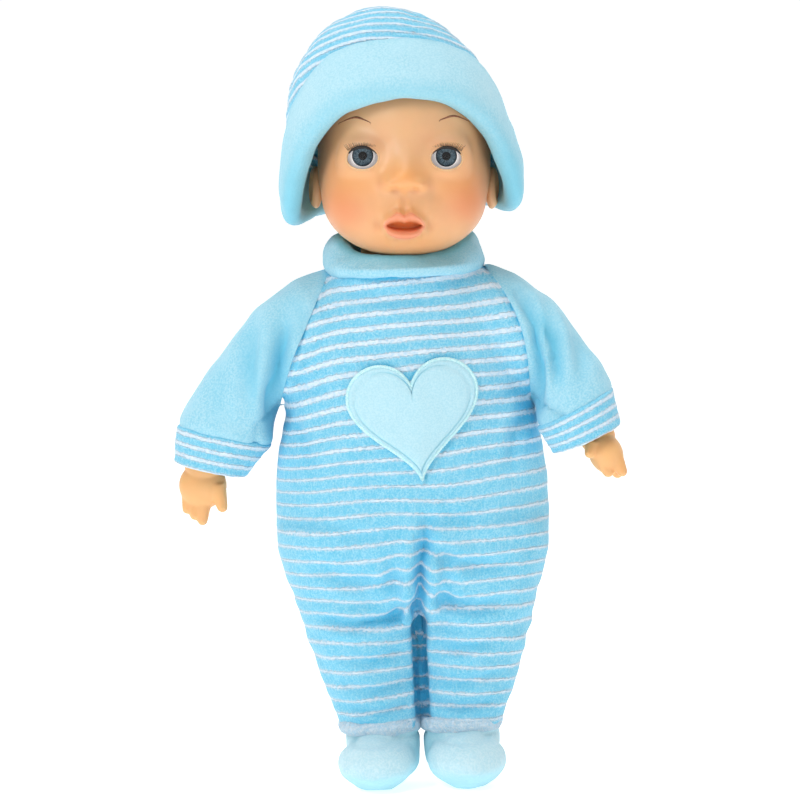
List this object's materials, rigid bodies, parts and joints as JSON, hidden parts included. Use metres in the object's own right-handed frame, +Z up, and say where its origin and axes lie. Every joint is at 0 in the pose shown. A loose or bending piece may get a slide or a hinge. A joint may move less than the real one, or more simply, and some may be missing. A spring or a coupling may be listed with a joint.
{
  "type": "interactive baby doll",
  "caption": "Soft-bodied standing baby doll in a striped romper with vinyl head and hands, sleep eyes, removable cap and a press-to-talk heart.",
  "frame": {"origin": "on the floor, under the middle of the doll's box, with both soles flat on the floor", "axes": "+Z up through the head, the doll faces -Y, and its own left side is +X"},
  "size_m": [0.1778, 0.0984, 0.305],
  "materials": {
    "vinyl_skin": "soft satin vinyl, peach, with painted blush, lips and brows",
    "striped_knit": "blue terry knit with fine white stripes",
    "velour": "pale blue velour",
    "terry": "pale blue terry",
    "heart_felt": "pale blue velour with mint satin stitching",
    "stuffing": "white polyester fibre",
    "foam": "soft open foam",
    "tie_nylon": "natural nylon",
    "eye_white": "glossy white, flesh-coloured lid",
    "iris": "grey-blue streaked iris under a clear dome",
    "lashes": "dark brown bristles",
    "steel": "plain nickel-plated steel",
    "casing_plastic": "white moulded plastic",
    "button_plastic": "red moulded plastic",
    "black_plastic": "black moulded plastic",
    "hook_and_loop": "pale blue nylon hook and loop",
    "board": "green lacquered circuit board",
    "speaker_paper": "black pressed paper",
    "wire_red": "red insulation",
    "wire_black": "black insulation"
  },
  "bodies": {
    "torso": {"torso_stuffing": "stuffing", "front_panel": "striped_knit", "back_panel": "striped_knit", "collar": "velour", "neck_cable_tie": "tie_nylon", "flap_loop_strip": "hook_and_loop", "sound_case_front": "casing_plastic", "sound_case_rear": "casing_plastic", "case_screw_1": "steel", "case_screw_2": "steel", "battery_door": "casing_plastic", "battery_door_screw": "steel", "button_cell_1": "steel", "button_cell_2": "steel", "button_cell_3": "steel", "battery_contact_strip": "steel", "circuit_board": "board", "button_dome": "black_plastic", "sound_chip": "black_plastic", "speaker_frame": "steel", "speaker_cone": "speaker_paper", "speaker_wire_red": "wire_red", "speaker_wire_black": "wire_black"},
    "head": {"head_shell": "vinyl_skin", "left_eye_frame": "casing_plastic", "right_eye_frame": "casing_plastic"},
    "left_eye": {"left_eyeball": "eye_white", "left_iris": "iris", "left_eyelashes": "lashes", "left_eye_weight": "steel"},
    "right_eye": {"right_eyeball": "eye_white", "right_iris": "iris", "right_eyelashes": "lashes", "right_eye_weight": "steel"},
    "cap": {"hat_crown": "striped_knit", "hat_brim": "velour"},
    "left_arm": {"left_sleeve": "velour", "left_arm_stuffing": "stuffing", "left_cuff": "striped_knit", "left_wrist_tie": "tie_nylon", "left_hand": "vinyl_skin"},
    "right_arm": {"right_sleeve": "velour", "right_arm_stuffing": "stuffing", "right_cuff": "striped_knit", "right_wrist_tie": "tie_nylon", "right_hand": "vinyl_skin"},
    "left_leg": {"left_leg_cover": "striped_knit", "left_leg_stuffing": "stuffing", "left_ankle_band": "terry", "left_foot": "terry"},
    "right_leg": {"right_leg_cover": "striped_knit", "right_leg_stuffing": "stuffing", "right_ankle_band": "terry", "right_foot": "terry"},
    "heart_button": {"heart_patch": "heart_felt", "pressure_pad": "foam", "sound_button": "button_plastic"},
    "flap": {"back_flap": "striped_knit", "flap_hook_strip": "hook_and_loop"},
    "switch": {"power_switch_knob": "black_plastic"}
  },
  "joints": [
    {"name": "head_turn", "type": "hinge", "parent": "torso", "child": "head", "pos_m": [0.00248, -0.00256, 0.205], "axis": [0, 0, 1], "range_deg": [-70, 70]},
    {"name": "left_eye_close", "type": "hinge", "parent": "head", "child": "left_eye", "pos_m": [0.01858, -0.02996, 0.248], "axis": [1, 0, 0], "range_deg": [0, 60]},
    {"name": "right_eye_close", "type": "hinge", "parent": "head", "child": "right_eye", "pos_m": [-0.01362, -0.02996, 0.248], "axis": [1, 0, 0], "range_deg": [0, 60]},
    {"name": "cap_pull_off", "type": "slide", "parent": "head", "child": "cap", "axis": [0, 0.5, 0.866], "range_m": [0, 0.11]},
    {"name": "left_shoulder", "type": "hinge", "parent": "torso", "child": "left_arm", "pos_m": [0.04848, -0.00256, 0.176], "axis": [-1, 0, 0], "range_deg": [-65, 85]},
    {"name": "right_shoulder", "type": "hinge", "parent": "torso", "child": "right_arm", "pos_m": [-0.04352, -0.00256, 0.176], "axis": [-1, 0, 0], "range_deg": [-40, 110]},
    {"name": "left_hip", "type": "hinge", "parent": "torso", "child": "left_leg", "pos_m": [0.02868, -0.00256, 0.092], "axis": [-1, 0, 0], "range_deg": [-10, 90]},
    {"name": "right_hip", "type": "hinge", "parent": "torso", "child": "right_leg", "pos_m": [-0.02372, -0.00256, 0.092], "axis": [-1, 0, 0], "range_deg": [-10, 90]},
    {"name": "heart_press", "type": "slide", "parent": "torso", "child": "heart_button", "axis": [0, 1, 0], "range_m": [0, 0.0015], "stiffness_N_per_m": 1500},
    {"name": "flap_open", "type": "hinge", "parent": "torso", "child": "flap", "pos_m": [0.00248, 0.02884, 0.165], "axis": [1, 0, 0], "range_deg": [0, 120]},
    {"name": "power_slide", "type": "slide", "parent": "torso", "child": "switch", "axis": [1, 0, 0], "range_m": [0, 0.0035]}
  ]
}
